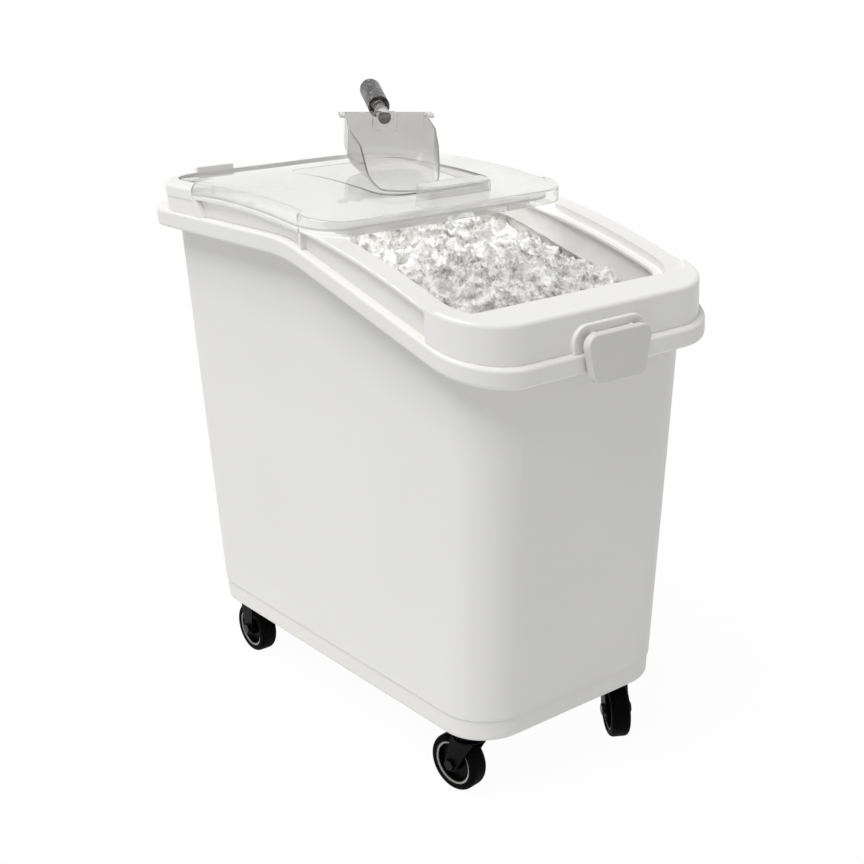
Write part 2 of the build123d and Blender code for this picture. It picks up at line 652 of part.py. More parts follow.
def lid_tail(inset):
    """Narrow rear part of the front lid, between the raised sides of the frame."""
    tail = plan_prism(PANEL_HALF_WIDTH - inset, inset, PANEL_REAR_Y - inset, PANEL_CORNER - inset, 0, FAR)
    tail = tail & under_arc(PLATEAU_RISE - inset)
    return fillet(top_outline(tail), radius=NOSE_EDGE_ROUND - inset)


def lid_hems():
    """Everything below the front lid's lower edges: nose, skirts over the rails, and back edge."""
    nose = block(-FAR, FAR, -FAR, SKIRT_FRONT_Y, 0, FAR) & under_arc(NOSE_GAP)
    behind = block(-FAR, FAR, SKIRT_FRONT_Y, FAR, 0, FAR)
    sides = behind & under_arc(-FRONT_SKIRT_DROP)
    inner_half = LID_WIDTH / 2 - LID_WALL
    over_rear_lid = block(-inner_half, inner_half, SKIRT_FRONT_Y, FAR, 0, FAR) & under_arc(REAR_LID_TOP + STACK_GAP)
    tail = block(-FAR, FAR, SKIRT_REAR_Y, FAR, 0, FAR) & under_arc(REAR_HEM_RISE)
    return nose + sides + over_rear_lid + tail


def make_front_lid():
    """Sliding clear lid: raised plateau, rounded shoulders, side skirts, nose, scoop well and grip."""
    outside = lid_saddle(0) + lid_nose(0) + lid_tail(0)
    inside = lid_saddle(LID_WALL) + lid_nose(LID_WALL) + lid_tail(LID_WALL)
    shell = outside - inside - lid_hems()
    return (shell - well_cut() + well_shell() + grip_shell()) - grip_cut() - notch()


def long_top_edges(part):
    """The two curved edges along the top of a saddle."""
    curved = part.edges().filter_by(GeomType.CIRCLE)
    return curved.sort_by(lambda edge: -(edge @ 0.5).Z)[:2]


def top_outline(part):
    """All edges round the top face of a panel."""
    return part.faces().sort_by(Axis.Z)[-1].edges()


def well_prism(inset):
    """Upright block in the shape of the scoop well."""
    prism = plan_prism(WELL_WIDTH / 2 - inset, WELL_FRONT_Y + inset, WELL_REAR_Y - inset, WELL_CORNER - inset, 0, FAR)
    return Pos(WELL_X, 0, 0) * prism


def under_well_floor(rise):
    """Everything under the well's floor, which tilts up towards the back until it meets the plateau."""
    pivot = Pos(0, WELL_FRONT_Y, arc_z(WELL_FRONT_Y))
    return pivot * Rot(WELL_SLOPE, 0, 0) * pivot.inverse() * under_arc(rise)


def well_cut():
    """Space of the scoop well above its floor."""
    return well_prism(LID_WALL) - under_well_floor(WELL_FLOOR_RISE)


def well_shell():
    """Walls and floor of the scoop well."""
    body = (well_prism(0) & under_arc(PLATEAU_RISE - LID_WALL / 2)) - under_well_floor(WELL_FLOOR_RISE - LID_PANEL)
    return body - well_cut()


def grip_prism(inset):
    """Upright block in the shape of the raised grip."""
    prism = plan_prism(GRIP_WIDTH / 2 - inset, GRIP_FRONT_Y + inset, GRIP_FRONT_Y + GRIP_DEPTH - inset,
                       GRIP_CORNER - inset, 0, FAR)
    return Pos(GRIP_X, 0, 0) * prism


def grip_shell():
    """Raised hollow finger grip on the plateau."""
    outer = grip_prism(0) & under_arc(PLATEAU_RISE + GRIP_HEIGHT)
    outer = fillet(top_outline(outer), radius=GRIP_EDGE_ROUND)
    return outer - under_arc(PLATEAU_RISE - LID_WALL / 2)


def grip_cut():
    """Hollow under the grip."""
    return (grip_prism(LID_WALL) & under_arc(PLATEAU_RISE + GRIP_HEIGHT - LID_WALL)) - under_arc(0)


def notch():
    """Finger notch cut up into the nose's lower edge."""
    front = FRONT_LID_NOSE_Y
    edge = arc_z(front, NOSE_GAP)
    half = NOTCH_WIDTH / 2
    cut = block(NOTCH_X - half, NOTCH_X + half, front - LID_WALL, front + 2 * LID_WALL, edge - NOTCH_HEIGHT,
                edge + NOTCH_HEIGHT)
    corners = cut.edges().filter_by(Axis.Y).sort_by(Axis.Z)[-2:]
    return fillet(corners, radius=NOTCH_CORNER)


def scoop_place():
    """Place of the scoop: lying in the well, turned, and sloped with the well's floor."""
    slope = arc_slope(SCOOP_Y) + WELL_SLOPE
    raised = SCOOP_LENGTH / 2 * sin(radians(SCOOP_TILT)) * cos(radians(SCOOP_TURN))
    floor_z = arc_z(SCOOP_Y, WELL_FLOOR_RISE) + (SCOOP_Y - WELL_FRONT_Y) * sin(radians(WELL_SLOPE))
    settled = (SCOOP_LENGTH / 2 * cos(radians(SCOOP_TURN))) ** 2 / (2 * RAIL_RADIUS)
    seat = Pos(SCOOP_X, SCOOP_Y, floor_z + raised - settled + 2 * SEAT_GAP)
    return seat * Rot(slope + SCOOP_TILT, 0, 0) * Rot(0, 0, -SCOOP_TURN)


def scoop_section(width, height, corner, y, low_z):
    """Round-bottomed upright section of the scoop."""
    outline = RectangleRounded(width, 2 * height, corner)
    return Plane.XZ.offset(-y) * Pos(0, low_z + height) * outline


def scoop_loft(inset):
    """Tapered body of the scoop with a round heel, open in front, pulled in by an inset."""
    half = SCOOP_LENGTH / 2
    front_y = -half - SCOOP_LIP_BULGE - inset
    taper = (SCOOP_MIDDLE_WIDTH - SCOOP_LIP_WIDTH) / (SCOOP_MIDDLE_Y + half)
    front_width = SCOOP_MIDDLE_WIDTH - taper * (SCOOP_MIDDLE_Y - front_y)
    corner = SCOOP_BACK_CORNER - inset
    back = scoop_section(SCOOP_BACK_WIDTH - 2 * inset, SCOOP_HEIGHT, corner, half - inset, inset)
    middle = scoop_section(SCOOP_MIDDLE_WIDTH - 2 * inset, SCOOP_HEIGHT, corner, SCOOP_MIDDLE_Y, inset)
    front = scoop_section(front_width - 2 * inset, SCOOP_HEIGHT, SCOOP_LIP_CORNER - inset, front_y, inset)
    body = loft([back, middle, front], ruled=True)
    heel = FilletPolyline((-FAR, inset), (half - inset, inset), (half - inset, FAR), (-FAR, FAR),
                          radius=SCOOP_HEEL_ROUND - inset, close=True)
    return body & extrude(Plane.YZ * make_face(heel), amount=FAR, both=True)


def above_scoop_rim():
    """Everything above the scoop's rim line: straight from the back to a kink, then steep to the lip."""
    half = SCOOP_LENGTH / 2
    line = FilletPolyline((half + FAR, SCOOP_HEIGHT), (half, SCOOP_HEIGHT), (SCOOP_KINK_Y, SCOOP_KINK_Z),
                          (-half, SCOOP_LIP_HEIGHT), (-FAR, SCOOP_LIP_HEIGHT), (-FAR, FAR), (half + FAR, FAR),
                          radius=SCOOP_KINK_ROUND, close=True)
    return extrude(Plane.YZ * make_face(line), amount=FAR, both=True)


def scoop_plan():
    """Everything behind the scoop's lip, which is bowed forwards in the middle."""
    half_width = SCOOP_LIP_WIDTH / 2
    radius = (half_width ** 2 + SCOOP_LIP_BULGE ** 2) / (2 * SCOOP_LIP_BULGE)
    centre_y = radius - SCOOP_LENGTH / 2 - SCOOP_LIP_BULGE
    return Pos(0, centre_y, 0) * Cylinder(radius, FAR) + block(-FAR, FAR, centre_y, FAR, -FAR / 2, FAR / 2)


def scoop_rim():
    """Thick rim along the top of the back wall, with an ear at each end."""
    half = SCOOP_LENGTH / 2
    rim_half = SCOOP_BACK_WIDTH / 2 + SCOOP_RIM_REACH
    low_z = SCOOP_HEIGHT - SCOOP_RIM_THICKNESS
    rim = block(-rim_half, rim_half, half - SCOOP_RIM_LENGTH, half, low_z, SCOOP_HEIGHT)
    rim = fillet(rim.edges().filter_by(Axis.Z).sort_by(Axis.Y)[:2], radius=SCOOP_RIM_ROUND)
    return rim - scoop_loft(SCOOP_RIM_THICKNESS)


def scoop_tabs():
    """Two small tabs inside the back wall, in line with the root plate's sides."""
    inner_y = SCOOP_LENGTH / 2 - SCOOP_WALL
    tabs = []
    for side in (-1, 1):
        x = side * TAB_SPACING / 2
        tabs.append(block(x - TAB_WIDTH / 2, x + TAB_WIDTH / 2, inner_y - TAB_THICKNESS, inner_y + SCOOP_WALL / 2,
                          SCOOP_HEIGHT - TAB_HEIGHT, SCOOP_HEIGHT))
    return tabs


def handle_rod(radius, start, end):
    """Round bar along the handle's axis, between two distances from the bowl's back wall."""
    root = Pos(0, SCOOP_LENGTH / 2, HANDLE_ROOT_Z) * Rot(HANDLE_RISE, 0, 0)
    return root * Pos(0, (start + end) / 2, 0) * Rot(90, 0, 0) * Cylinder(radius, end - start)


def rivet_pins(gap, reach):
    """The two pins across the handle, driven in from below, grown by a gap and a reach."""
    root = Pos(0, SCOOP_LENGTH / 2, HANDLE_ROOT_Z) * Rot(HANDLE_RISE, 0, 0)
    low = -HANDLE_RADIUS + RIVET_INSET - reach
    high = RIVET_REACH + reach
    return [root * Pos(0, y, (low + high) / 2) * Cylinder(RIVET_RADIUS + gap, high - low) for y in RIVET_PLACES]


def scoop_stem():
    """Clear root plate and stem behind the bowl, with the spigot that the handle sits on."""
    half = SCOOP_LENGTH / 2
    wall = half - SCOOP_WALL / 2
    plate = block(-ROOT_PLATE_WIDTH / 2, ROOT_PLATE_WIDTH / 2, wall, half + ROOT_PLATE_THICKNESS,
                  SCOOP_HEIGHT - ROOT_PLATE_DROP, SCOOP_HEIGHT)
    plate = fillet(plate.edges().filter_by(Axis.Y), radius=ROOT_PLATE_CORNER)
    stem = handle_rod(STEM_RADIUS, -STEM_RADIUS, STEM_LENGTH)
    stem = stem - block(-FAR, FAR, -FAR, wall, -FAR, FAR)
    return plate + stem + handle_rod(SPIGOT_RADIUS, 0, STEM_LENGTH + SPIGOT_LENGTH)


def make_scoop_bowl():
    """Clear bowl: tapered sides, round heel, flat back, kinked rim line, ears, and the handle's stem."""
    shell = scoop_loft(0) - scoop_loft(SCOOP_WALL) - above_scoop_rim()
    shell = (shell & scoop_plan()) + scoop_rim()
    for tab in scoop_tabs():
        shell = shell + tab
    shell = shell + (scoop_stem() - block(-FAR, FAR, -FAR, SCOOP_LENGTH / 2 - SCOOP_WALL, -FAR, FAR))
    for pin in rivet_pins(PIN_SEAT_GAP, SEAT_GAP):
        shell = shell - pin
    return scoop_place() * shell


def make_scoop_handle():
    """Moulded grip with a round tip, bored to sit on the bowl's spigot."""
    root = Pos(0, SCOOP_LENGTH / 2, HANDLE_ROOT_Z) * Rot(HANDLE_RISE, 0, 0)
    grip = handle_rod(HANDLE_RADIUS, STEM_LENGTH + SEAT_GAP, HANDLE_LENGTH)
    grip = grip + root * Pos(0, HANDLE_LENGTH, 0) * Sphere(HANDLE_RADIUS)
    grip = grip - handle_rod(SPIGOT_RADIUS + PIN_SEAT_GAP, 0, STEM_LENGTH + SPIGOT_LENGTH + SEAT_GAP)
    for pin in rivet_pins(PIN_SEAT_GAP, SEAT_GAP):
        grip = grip - pin
    return scoop_place() * grip


def make_scoop_rivets():
    """Two blind pins that fix the grip on the spigot."""
    return scoop_place() * Compound(children=rivet_pins(0, 0))


def wheel_pieces():
    """Tyre, hub and the pair of rim rings, centred on the axle along X."""
    tyre = rod(WHEEL_RADIUS, TYRE_WIDTH, (0, 0, 0)) - rod(TYRE_INNER_RADIUS, TYRE_WIDTH, (0, 0, 0))
    rims = tyre.edges().filter_by(GeomType.CIRCLE).sort_by(lambda edge: -edge.radius)[:2]
    tyre = fillet(rims, radius=TYRE_ROUND)
    hub = rod(TYRE_INNER_RADIUS, HUB_WIDTH, (0, 0, 0))
    hub -= rod(TYRE_INNER_RADIUS - HUB_RIM_THICKNESS, HUB_WIDTH, (0, 0, 0))
    hub += rod(TYRE_INNER_RADIUS - HUB_RIM_THICKNESS / 2, HUB_WEB, (0, 0, 0))
    hub += rod(HUB_BOSS_RADIUS, HUB_BOSS_LENGTH, (0, 0, 0))
    hub -= rod(AXLE_RADIUS + PIN_RUNNING_GAP, HUB_BOSS_LENGTH, (0, 0, 0))
    rings = []
    for side in (-1, 1):
        x = side * (HUB_WIDTH / 2 + RING_THICKNESS / 2)
        ring = rod(TYRE_INNER_RADIUS - SEAT_GAP, RING_THICKNESS, (x, 0, 0))
        ring -= rod(TYRE_INNER_RADIUS - SEAT_GAP - RING_WIDTH, RING_THICKNESS, (x, 0, 0))
        rings.append(ring)
    return tyre, hub, Compound(children=rings)


def fork_half_width():
    """Distance from the wheel's middle to the fork legs' inner faces."""
    return HUB_BOSS_LENGTH / 2 + FORK_SIDE_GAP


def fork_legs(trail, top_z):
    """Two sheet legs from the crown down to the axle, which lies behind by the trail."""
    legs = []
    inner = fork_half_width()
    for side in (-1, 1):
        top = Pos(0, top_z - FORK_SHEET) * Rectangle(FORK_LEG_TOP, 2 * FORK_SHEET)
        end = Pos(trail, WHEEL_RADIUS) * Circle(FORK_LEG_END_RADIUS)
        outline = make_hull(top.edges() + end.edges())
        leg = extrude(Plane.YZ.offset(side * (inner + FORK_SHEET / 2)) * outline, amount=FORK_SHEET / 2, both=True)
        hole = rod(AXLE_RADIUS + PIN_SEAT_GAP, FAR, (side * (inner + FAR / 2), trail, WHEEL_RADIUS))
        legs.append(leg - hole)
    return legs


def axle_pieces(trail):
    """Axle bolt with its head, and the nut at its other end."""
    end = fork_half_width() + FORK_SHEET
    head_x = -end - AXLE_HEAD / 2
    nut_x = end + AXLE_HEAD / 2
    bolt = rod(AXLE_RADIUS, 2 * end + AXLE_HEAD, (AXLE_HEAD / 2, trail, WHEEL_RADIUS))
    hexagon = RegularPolygon(AXLE_HEAD_FLATS / 2, 6, major_radius=False)
    head = extrude(Plane.YZ * hexagon, amount=AXLE_HEAD / 2, both=True)
    bolt += Pos(head_x, trail, WHEEL_RADIUS) * head
    nut = Pos(nut_x, trail, WHEEL_RADIUS) * head
    nut -= rod(AXLE_RADIUS + PIN_SEAT_GAP, 2 * AXLE_HEAD, (nut_x, trail, WHEEL_RADIUS))
    return bolt, nut


def plate_blank():
    """Caster top plate with its four screw holes."""
    plate = extrude(Pos(0, 0, PLATE_BOTTOM_Z) * RectangleRounded(PLATE_WIDTH, PLATE_LENGTH, PLATE_CORNER),
                    amount=PLATE_THICKNESS)
    for x, y in screw_places(0, 0):
        plate -= Pos(x, y, PLATE_BOTTOM_Z) * Cylinder(SCREW_RADIUS + SCREW_GAP, FAR)
    return plate


def make_swivel_caster(name, x, y, turn):
    """Plate, bearing race, kingpin, fork, wheel and axle of one swivel caster."""
    place = Pos(x, y, 0)
    turned = place * Rot(0, 0, turn)
    race_top = PLATE_BOTTOM_Z
    race_low = CROWN_Z + FORK_SHEET + RACE_GAP
    race = Pos(0, 0, (race_top + race_low) / 2) * Cylinder(RACE_RADIUS, race_top - race_low)
    race = fillet(race.edges().sort_by(Axis.Z)[0], radius=RACE_ROUND)
    bore = Cylinder(KINGPIN_RADIUS + PIN_SEAT_GAP, 2 * TUB_FLOOR_Z)
    plate = plate_blank() - bore
    race = race - bore
    pin_low = CROWN_Z - RACE_GAP
    pin = Pos(0, 0, (TUB_FLOOR_Z + pin_low) / 2) * Cylinder(KINGPIN_RADIUS, TUB_FLOOR_Z - pin_low)
    pin += Pos(0, 0, pin_low - KINGPIN_HEAD / 2) * Cylinder(KINGPIN_HEAD_RADIUS, KINGPIN_HEAD)
    crown = Pos(0, 0, CROWN_Z + FORK_SHEET / 2) * Cylinder(CROWN_RADIUS, FORK_SHEET)
    span = 2 * (fork_half_width() + FORK_SHEET)
    crown += Pos(0, 0, CROWN_Z + FORK_SHEET / 2) * Box(span, FORK_LEG_TOP, FORK_SHEET)
    crown -= Cylinder(KINGPIN_RADIUS + PIN_RUNNING_GAP, 2 * TUB_FLOOR_Z)
    legs = fork_legs(CASTER_TRAIL, CROWN_Z + FORK_SHEET)
    fork = crown + legs[0] + legs[1]
    bolt, nut = axle_pieces(CASTER_TRAIL)
    tyre, hub, rings = wheel_pieces()
    wheel_place = turned * Pos(0, CASTER_TRAIL, WHEEL_RADIUS)
    export(place * plate, f"{name}_caster_plate")
    export(place * race, f"{name}_bearing_race")
    export(place * pin, f"{name}_kingpin")
    export(turned * fork, f"{name}_fork")
    export(turned * bolt, f"{name}_axle")
    export(turned * nut, f"{name}_axle_nut")
    export(wheel_place * tyre, f"{name}_tyre")
    export(wheel_place * hub, f"{name}_wheel_hub")
    export(wheel_place * rings, f"{name}_rim_rings")


def make_rigid_caster(name, x, y):
    """One-piece bracket, wheel and axle of one fixed caster."""
    place = Pos(x, y, 0)
    legs = fork_legs(0, PLATE_BOTTOM_Z + PLATE_THICKNESS / 2)
    bracket = plate_blank() + legs[0] + legs[1]
    bolt, nut = axle_pieces(0)
    tyre, hub, rings = wheel_pieces()
    wheel_place = place * Pos(0, 0, WHEEL_RADIUS)
    export(place * bracket, f"{name}_bracket")
    export(place * bolt, f"{name}_axle")
    export(place * nut, f"{name}_axle_nut")
    export(wheel_place * tyre, f"{name}_tyre")
    export(wheel_place * hub, f"{name}_wheel_hub")
    export(wheel_place * rings, f"{name}_rim_rings")


def make_screws():
    """All caster screws, driven up through the plates into the tub's pads."""
    screws = []
    for _, x, y, _ in caster_places():
        for screw_x, screw_y in screw_places(x, y):
            shank = Pos(screw_x, screw_y, PLATE_BOTTOM_Z + SCREW_LENGTH / 2) * Cylinder(SCREW_RADIUS, SCREW_LENGTH)
            head = Pos(screw_x, screw_y, PLATE_BOTTOM_Z - SCREW_HEAD / 2) * Cylinder(SCREW_HEAD_RADIUS, SCREW_HEAD)
            head = fillet(head.edges().sort_by(Axis.Z)[0], radius=SCREW_HEAD / 2)
            screws.append(shank + head)
    return Compound(children=screws)


def main():
    """Builds and writes every sub-part."""
    os.makedirs("parts", exist_ok=True)
    export(make_tub(), "tub")
    export(make_lid_frame(), "lid_frame")
    export(make_latch(), "front_latch")
    export(make_latch_pin(), "latch_pin")
    export(make_rear_stop(), "rear_stop")
    export(make_rear_lid(), "rear_lid")
    export(make_front_lid(), "front_lid")
    export(make_scoop_bowl(), "scoop_bowl")
    export(make_scoop_handle(), "scoop_handle")
    export(make_scoop_rivets(), "scoop_rivets")
    for name, x, y, turn in caster_places():
        if y < 0:
            make_swivel_caster(name, x, y, turn)
        else:
            make_rigid_caster(name, x, y)
    export(make_screws(), "caster_screws")


main()
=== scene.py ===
"""Looks of the mobile ingredient bin: materials, flour, floor, light and camera, in metres."""

from math import cos, exp, hypot, radians, sin

import bmesh
import bpy
from mathutils import Matrix, Vector, noise


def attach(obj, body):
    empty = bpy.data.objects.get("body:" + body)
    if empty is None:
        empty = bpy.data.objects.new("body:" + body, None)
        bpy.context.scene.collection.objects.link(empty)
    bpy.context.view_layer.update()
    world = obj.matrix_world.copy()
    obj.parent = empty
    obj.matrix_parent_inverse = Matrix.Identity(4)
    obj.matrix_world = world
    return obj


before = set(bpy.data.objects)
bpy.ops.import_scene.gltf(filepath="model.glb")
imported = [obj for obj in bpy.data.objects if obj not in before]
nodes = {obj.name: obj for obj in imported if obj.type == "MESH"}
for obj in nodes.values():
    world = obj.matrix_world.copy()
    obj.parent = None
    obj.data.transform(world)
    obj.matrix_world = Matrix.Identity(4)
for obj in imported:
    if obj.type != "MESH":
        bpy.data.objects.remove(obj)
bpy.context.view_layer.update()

# Camera
CAMERA_PLACE = Vector((-1.08032, -1.47159, 0.98965))
CAMERA_YAW = radians(38.023)
CAMERA_PITCH = radians(18.755)
CAMERA_ROLL = radians(-1.6745)
CAMERA_LENS_MM = 59.283
SENSOR_MM = 36.0
CAMERA_SHIFT_X = -0.03486
CAMERA_SHIFT_Y = 0.01359
CAMERA_REACH = 100.0

# Light
WORLD_STRENGTH = 0.30
SUN_STRENGTH = 2.5
SUN_ANGLE = radians(40.0)
SUN_FROM = Vector((-0.42, -0.03, 0.90))
FLOOR_SIZE = 30.0
FLOOR_COLOUR = (0.84, 0.84, 0.84, 1.0)
FLOOR_WHITE_SHARE = 0.97

# Dark line along the moulded edge of the scoop well, on the front lid's plateau; its grey is painted shade
PLATEAU_RADIUS = 1.358
PLATEAU_AXIS_Y = 0.1495
PLATEAU_AXIS_Z = -0.6315
WELL_MIDDLE_X = 0.030
WELL_HALF_WIDTH = 0.0905
WELL_FRONT_Y = -0.0290
WELL_FADE_Y = 0.175
WELL_CORNER = 0.0315
BEAD_RADIUS = 0.0009
BEAD_SIDES = 8
BEAD_END_SHARE = 0.15
BEAD_TAPER = 4.0
CORNER_STEPS = 10

# Flour inside the tub
FLOUR_HALF_WIDTH = 0.1625
FLOUR_FRONT_Y = -0.338
FLOUR_REAR_Y = 0.350
FLOUR_CORNER = 0.058
FLOUR_STEP = 0.0015
FLOUR_REAR_Z = 0.655
FLOUR_FRONT_Z = 0.574
FLOUR_SLOPE_START_Y = 0.10
FLOUR_SLOPE_POWER = 1.35
FLOUR_DEPTH = 0.060
WARP_SCALE = 40.0
WARP_SHIFT = Vector((7.0, 3.0, 1.0))
WARP_SIZE = 0.012
HEAP_SCALE = 13.0
HEAP_HEIGHT = 0.011
LUMP_SCALE = 34.0
LUMP_HEIGHT = 0.010
CLUMP_SCALE = 80.0
CLUMP_HEIGHT = 0.0065
CLUMP_FALL = 0.55
CLUMP_STEP = 2.1
CLUMP_OCTAVES = 5
CROWN_HEIGHT = 0.011
CROWN_HALF_WIDTH = 0.11

# Surfaces
COAT_ROUGHNESS = 0.15
GLOSS_SPREAD = 0.03
GLOSS_FINENESS = 5.0
GRAIN_DEPTH = 0.0004
CLEAR_IOR = 1.45
CLEAR_DRIFT_SCALE = 9.0
CLEAR_DRIFT_SHADE = 0.985
CLEAR_RIPPLE_SCALE = 26.0
CLEAR_RIPPLE_STRENGTH = 0.10
CLEAR_RIPPLE_DEPTH = 0.001
CLEAR_SHADOW = (0.93, 0.93, 0.93, 1.0)
# Height shares over which painted shade darkens the scoop's upper part
SCOOP_PAINTED_SHADE_LOW = 0.05
SCOOP_PAINTED_SHADE_HIGH = 0.32
DULL_SHINE = 0.1
SPECK_SCALE = 150.0
SPECK_MIDDLE = 0.56
SPECK_SPREAD = 0.08
SPECK_ROUGH = 0.75
SPECK_STRENGTH = 0.25
SPECK_DEPTH = 0.0005
SPECK_GLOSS_SCALE = 60.0
SPECK_GLOSS_SPREAD = 0.08
POWDER_ROUGHNESS = 0.95
# Painted shade: grey mixed into the flour in random patches where its hollows would be shaded
POWDER_PAINTED_SHADE = (0.34, 0.33, 0.315)
POWDER_LIGHT = (0.93, 0.925, 0.91)
SHADE_PATCH_SCALE = 46.0
SHADE_PATCH_MIDDLE = 0.465
SHADE_PATCH_SPREAD = 0.11
SHADE_PATCH_ROUGH = 0.70
CRUMB_SCALE = 90.0
CRUMB_SPREAD = 0.25
CRUMB_ROUGH = 0.65
CRUMB_STRENGTH = 0.9
CRUMB_DEPTH = 0.0030
WHITE = (1.0, 1.0, 1.0, 1.0)


def new_material(name):
    """Node material with nothing in it yet."""
    material = bpy.data.materials.new(name)
    material.use_nodes = True
    material.node_tree.nodes.clear()
    return material


def node(tree, kind, **sockets):
    """Adds one node and sets constants on its named sockets."""
    made = tree.nodes.new(kind)
    for name, value in sockets.items():
        made.inputs[name.replace("_", " ")].default_value = value
    return made


def noise_map(tree, scale, detail, low, high, spread=0.3, rough=0.5, middle=0.5):
    """Noise in object space mapped to a range of values; a smaller spread gives more contrast."""
    place = tree.nodes.new("ShaderNodeTexCoord")
    field = node(tree, "ShaderNodeTexNoise", Scale=scale, Detail=detail, Roughness=rough)
    tree.links.new(place.outputs["Object"], field.inputs["Vector"])
    mapped = node(tree, "ShaderNodeMapRange", From_Min=middle - spread, From_Max=middle + spread,
                  To_Min=low, To_Max=high)
    tree.links.new(field.outputs["Fac"], mapped.inputs["Value"])
    return mapped.outputs["Result"]


def mixed_colour(tree, factor, first, second):
    """Colour that runs between two values by a factor."""
    mix = tree.nodes.new("ShaderNodeMix")
    mix.data_type = "RGBA"
    mix.inputs["A"].default_value = (*first, 1.0)
    mix.inputs["B"].default_value = (*second, 1.0)
    tree.links.new(factor, mix.inputs["Factor"])
    return mix.outputs["Result"]


def bump(tree, height, strength, distance):
    """Bump from a height value."""
    made = node(tree, "ShaderNodeBump", Strength=strength, Distance=distance)
    tree.links.new(height, made.inputs["Height"])
    return made.outputs["Normal"]


def link_output(tree, surface, kind="ShaderNodeOutputMaterial"):
    """Adds the output of a material or world and links its surface."""
    output = tree.nodes.new(kind)
    tree.links.new(surface, output.inputs["Surface"])


def mix_surfaces(tree, factor, first, second):
    """Surface that runs from the first to the second by a factor."""
    mix = tree.nodes.new("ShaderNodeMixShader")
    tree.links.new(factor, mix.inputs["Fac"])
    tree.links.new(first, mix.inputs[1])
    tree.links.new(second, mix.inputs[2])
    return mix.outputs["Shader"]


def solid_material(name, first, second, rough, mottle=6.0, grain=900.0, grain_strength=0.08, coat=0.0,
                   metal=0.0, shine=0.5):
    """Opaque moulded or metal surface: slow colour drift, uneven gloss and fine grain."""
    material = new_material(name)
    tree = material.node_tree
    shader = tree.nodes.new("ShaderNodeBsdfPrincipled")
    shader.inputs["Metallic"].default_value = metal
    shader.inputs["Coat Weight"].default_value = coat
    shader.inputs["Coat Roughness"].default_value = COAT_ROUGHNESS
    shader.inputs["Specular IOR Level"].default_value = shine
    drift = noise_map(tree, mottle, 1.0, 0.0, 1.0)
    tree.links.new(mixed_colour(tree, drift, first, second), shader.inputs["Base Color"])
    gloss = noise_map(tree, mottle * GLOSS_FINENESS, 1.0, rough - GLOSS_SPREAD, rough + GLOSS_SPREAD)
    tree.links.new(gloss, shader.inputs["Roughness"])
    fine = noise_map(tree, grain, 2.0, 0.0, 1.0)
    tree.links.new(bump(tree, fine, grain_strength, GRAIN_DEPTH), shader.inputs["Normal"])
    link_output(tree, shader.outputs["BSDF"])
    return material


def painted_shade_height_mask(tree, low, high):
    """Share of the piece's height, 0 below the low share and 1 above the high one; it masks the scoop's
    painted shade.
    """
    place = tree.nodes.new("ShaderNodeTexCoord")
    split = tree.nodes.new("ShaderNodeSeparateXYZ")
    tree.links.new(place.outputs["Generated"], split.inputs["Vector"])
    mapped = node(tree, "ShaderNodeMapRange", From_Min=low, From_Max=high)
    tree.links.new(split.outputs["Z"], mapped.inputs["Value"])
    return mapped.outputs["Result"]


def clear_material(name, tint, rough, haze, drift_and_painted_shade_tint=None):
    """Clear moulded plastic: faint ripples, a little haze and perhaps painted shade that darkens its upper
    part.
    """
    material = new_material(name)
    tree = material.node_tree
    clear = tree.nodes.new("ShaderNodeBsdfPrincipled")
    clear.inputs["Transmission Weight"].default_value = 1.0 - haze
    clear.inputs["IOR"].default_value = CLEAR_IOR
    clear.inputs["Roughness"].default_value = rough
    # Painted shade: a second colour given here darkens the piece's upper part by height; without it the
    # colour drifts at random
    if drift_and_painted_shade_tint:
        drift = painted_shade_height_mask(tree, SCOOP_PAINTED_SHADE_LOW, SCOOP_PAINTED_SHADE_HIGH)
    else:
        drift = noise_map(tree, CLEAR_DRIFT_SCALE, 3.0, 0.0, 1.0)
        drift_and_painted_shade_tint = tuple(c * CLEAR_DRIFT_SHADE for c in tint)
    tree.links.new(mixed_colour(tree, drift, tint, drift_and_painted_shade_tint), clear.inputs["Base Color"])
    ripple = noise_map(tree, CLEAR_RIPPLE_SCALE, 2.0, 0.0, 1.0)
    dents = bump(tree, ripple, CLEAR_RIPPLE_STRENGTH, CLEAR_RIPPLE_DEPTH)
    tree.links.new(dents, clear.inputs["Normal"])
    passing = node(tree, "ShaderNodeBsdfTransparent", Color=CLEAR_SHADOW)
    path = tree.nodes.new("ShaderNodeLightPath")
    shadow = path.outputs["Is Shadow Ray"]
    link_output(tree, mix_surfaces(tree, shadow, clear.outputs["BSDF"], passing.outputs["BSDF"]))
    return material


def speckled_material(name, dark, light, rough):
    """Grey moulded plastic with fine dark and light specks."""
    material = new_material(name)
    tree = material.node_tree
    shader = tree.nodes.new("ShaderNodeBsdfPrincipled")
    specks = noise_map(tree, SPECK_SCALE, 8.0, 0.0, 1.0, spread=SPECK_SPREAD, rough=SPECK_ROUGH,
                       middle=SPECK_MIDDLE)
    tree.links.new(mixed_colour(tree, specks, dark, light), shader.inputs["Base Color"])
    gloss = noise_map(tree, SPECK_GLOSS_SCALE, 3.0, rough - SPECK_GLOSS_SPREAD, rough + SPECK_GLOSS_SPREAD)
    tree.links.new(gloss, shader.inputs["Roughness"])
    tree.links.new(bump(tree, specks, SPECK_STRENGTH, SPECK_DEPTH), shader.inputs["Normal"])
    link_output(tree, shader.outputs["BSDF"])
    return material


def dress(name, material):
    """Gives one CAD node a material in all its slots."""
    slots = nodes[name].material_slots
    if not slots:
        nodes[name].data.materials.append(material)
    for slot in slots:
        slot.material = material


